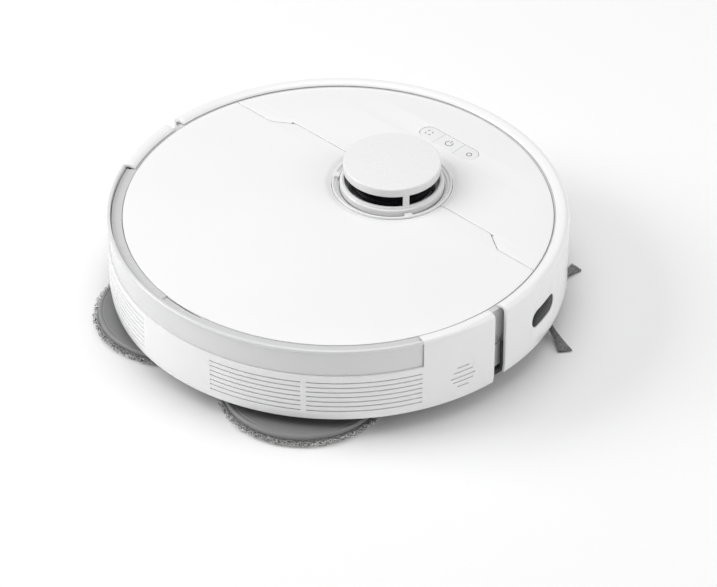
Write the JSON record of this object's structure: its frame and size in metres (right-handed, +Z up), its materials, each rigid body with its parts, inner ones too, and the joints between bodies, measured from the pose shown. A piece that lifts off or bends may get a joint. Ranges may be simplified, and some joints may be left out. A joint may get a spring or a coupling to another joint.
{
  "type": "robot vacuum",
  "caption": "Round floor robot with laser turret, sprung bumper, lift-up rear lid, roller and side brush, drive wheels and spinning mop discs.",
  "frame": {"origin": "on the floor below the middle of the round body, with the robot standing on its wheels, caster and mops", "axes": "+Z up; -Y is the front with the bumper; -X is the robot's right, the side with the side brush"},
  "size_m": [0.3531, 0.35, 0.0968],
  "materials": {
    "white": "glossy white moulded plastic",
    "pale_grey": "satin light grey plastic",
    "mid_grey": "matte mid grey plastic",
    "dark_grey": "fine-grained dark grey plastic",
    "black": "glossy black infrared-clear plastic",
    "rubber": "matte black rubber",
    "bristle": "dark grey nylon bristles",
    "cloth": "looped microfibre pile, dark and light grey",
    "smoke": "smoked translucent plastic",
    "green": "circuit board lacquer",
    "steel": "turned steel",
    "brass": "plated contact metal",
    "blue": "matte blue soft plastic and film"
  },
  "bodies": {
    "chassis": {"base_shell": "dark_grey", "top_frame": "pale_grey", "rear_shell": "white", "rear_trim_band": "white", "front_deck": "white", "lid_hinge_pin_right": "steel", "lid_hinge_pin_left": "steel", "lidar_base": "white", "brush_chamber": "dark_grey", "brush_guard": "dark_grey", "side_brush_motor": "mid_grey", "dust_box": "smoke", "dust_box_lid": "pale_grey", "dust_filter": "white", "water_tank": "smoke", "water_tank_plug": "blue", "battery_pack": "blue", "battery_cover": "dark_grey", "main_board": "green", "fan_housing": "mid_grey", "speaker": "black", "wheel_housing_left": "dark_grey", "charging_contact_left": "brass", "wheel_housing_right": "dark_grey", "charging_contact_right": "brass"},
    "bumper": {"bumper_shell": "white", "edge_sensor_window": "black", "front_ir_window": "black"},
    "lid": {"lid": "white"},
    "key_home": {"key_home": "pale_grey"},
    "key_power": {"key_power": "pale_grey"},
    "key_spot": {"key_spot": "pale_grey"},
    "turret_cover": {"lidar_cover": "white"},
    "turret_head": {"lidar_head": "black"},
    "caster_fork": {"caster_fork": "dark_grey", "caster_axle": "steel"},
    "caster_wheel": {"caster_wheel": "rubber"},
    "main_brush": {"main_brush_core": "mid_grey", "main_brush_fins": "blue"},
    "side_brush": {"side_brush_hub": "dark_grey", "side_brush_tuft_1": "bristle", "side_brush_tuft_2": "bristle", "side_brush_tuft_3": "bristle"},
    "mop_drive": {"mop_carriage": "mid_grey"},
    "suction_fan": {"fan_impeller": "white"},
    "swing_arm_left": {"swing_arm_left": "mid_grey"},
    "wheel_left": {"wheel_hub_left": "mid_grey", "tyre_left": "rubber"},
    "mop_left": {"mop_spindle_left": "steel", "mop_plate_left": "dark_grey", "mop_pad_left": "cloth"},
    "swing_arm_right": {"swing_arm_right": "mid_grey"},
    "wheel_right": {"wheel_hub_right": "mid_grey", "tyre_right": "rubber"},
    "mop_right": {"mop_spindle_right": "steel", "mop_plate_right": "dark_grey", "mop_pad_right": "cloth"}
  },
  "joints": [
    {"name": "bumper_press", "type": "slide", "parent": "chassis", "child": "bumper", "axis": [0, 1, 0], "range_m": [0, 0.003], "stiffness_N_per_m": 900, "springref_m": -0.004},
    {"name": "lid_hinge", "type": "hinge", "parent": "chassis", "child": "lid", "pos_m": [0, -0.0574, 0.07645], "axis": [1, 0, 0], "range_deg": [0, 85]},
    {"name": "key_home_press", "type": "slide", "parent": "chassis", "child": "key_home", "axis": [0, 0, -1], "range_m": [0, 0.0008], "stiffness_N_per_m": 1500, "springref_m": -0.0006},
    {"name": "key_power_press", "type": "slide", "parent": "chassis", "child": "key_power", "axis": [0, 0, -1], "range_m": [0, 0.0008], "stiffness_N_per_m": 1500, "springref_m": -0.0006},
    {"name": "key_spot_press", "type": "slide", "parent": "chassis", "child": "key_spot", "axis": [0, 0, -1], "range_m": [0, 0.0008], "stiffness_N_per_m": 1500, "springref_m": -0.0006},
    {"name": "turret_cover_press", "type": "slide", "parent": "chassis", "child": "turret_cover", "axis": [0, 0, -1], "range_m": [0, 0.0014], "stiffness_N_per_m": 1200, "springref_m": -0.001},
    {"name": "turret_head_spin", "type": "hinge", "parent": "chassis", "child": "turret_head", "pos_m": [-0.0035, -0.0555, 0.08], "axis": [0, 0, 1], "continuous": true},
    {"name": "caster_swivel", "type": "hinge", "parent": "chassis", "child": "caster_fork", "pos_m": [0, -0.1405, 0.024], "axis": [0, 0, 1], "continuous": true},
    {"name": "caster_roll", "type": "hinge", "parent": "caster_fork", "child": "caster_wheel", "pos_m": [0, -0.1365, 0.011], "axis": [1, 0, 0], "continuous": true},
    {"name": "main_brush_spin", "type": "hinge", "parent": "chassis", "child": "main_brush", "pos_m": [0, -0.06, 0.022], "axis": [1, 0, 0], "continuous": true},
    {"name": "side_brush_spin", "type": "hinge", "parent": "chassis", "child": "side_brush", "pos_m": [-0.1195, -0.0885, 0.008], "axis": [0, 0, 1], "continuous": true},
    {"name": "suspension_left", "type": "hinge", "parent": "chassis", "child": "swing_arm_left", "pos_m": [0.106, -0.044, 0.034], "axis": [1, 0, 0], "range_deg": [-25, 0], "stiffness_Nm_per_rad": 0.15, "springref_deg": -51.57},
    {"name": "wheel_roll_left", "type": "hinge", "parent": "swing_arm_left", "child": "wheel_left", "pos_m": [0.106, -0.004, 0.033], "axis": [1, 0, 0], "continuous": true},
    {"name": "suspension_right", "type": "hinge", "parent": "chassis", "child": "swing_arm_right", "pos_m": [-0.106, -0.044, 0.034], "axis": [1, 0, 0], "range_deg": [-25, 0], "stiffness_Nm_per_rad": 0.15, "springref_deg": -51.57},
    {"name": "wheel_roll_right", "type": "hinge", "parent": "swing_arm_right", "child": "wheel_right", "pos_m": [-0.106, -0.004, 0.033], "axis": [1, 0, 0], "continuous": true},
    {"name": "mop_lift", "type": "slide", "parent": "chassis", "child": "mop_drive", "axis": [0, 0, 1], "range_m": [0, 0.007]},
    {"name": "mop_spin_left", "type": "hinge", "parent": "mop_drive", "child": "mop_left", "pos_m": [0.067, 0.1065, 0.01], "axis": [0, 0, 1], "continuous": true},
    {"name": "mop_spin_right", "type": "hinge", "parent": "mop_drive", "child": "mop_right", "pos_m": [-0.067, 0.1065, 0.01], "axis": [0, 0, 1], "continuous": true},
    {"name": "fan_spin", "type": "hinge", "parent": "chassis", "child": "suction_fan", "pos_m": [-0.112, 0.078, 0.04], "axis": [0, 0, 1], "continuous": true}
  ],
  "couplings": [
    {"joint": "mop_spin_right", "follows": "mop_spin_left", "ratio": -1}
  ]
}
